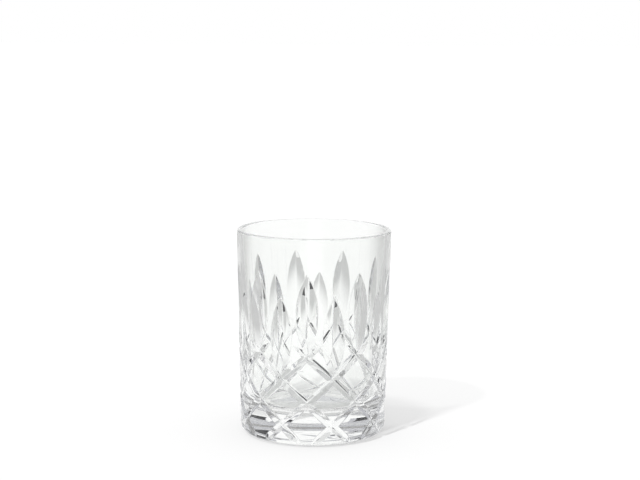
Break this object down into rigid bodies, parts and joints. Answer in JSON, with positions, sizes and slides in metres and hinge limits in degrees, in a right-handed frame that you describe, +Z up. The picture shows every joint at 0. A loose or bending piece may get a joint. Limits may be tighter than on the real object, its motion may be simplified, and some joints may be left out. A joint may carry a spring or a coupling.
{
  "type": "whisky glass",
  "caption": "Straight-sided clear glass whisky tumbler with a thick floor, a diamond lattice of mitre grooves and upright leaf cuts.",
  "frame": {"origin": "centre of the foot, on the surface that the glass stands on", "axes": "+Z up along the glass's own axis, through the mouth; the picture looks along +Y with +X to the right"},
  "size_m": [0.0732, 0.0732, 0.098],
  "materials": {
    "crystal_glass": "clear, fire polished"
  },
  "bodies": {
    "root": {"tumbler": "crystal_glass"}
  },
  "joints": []
}
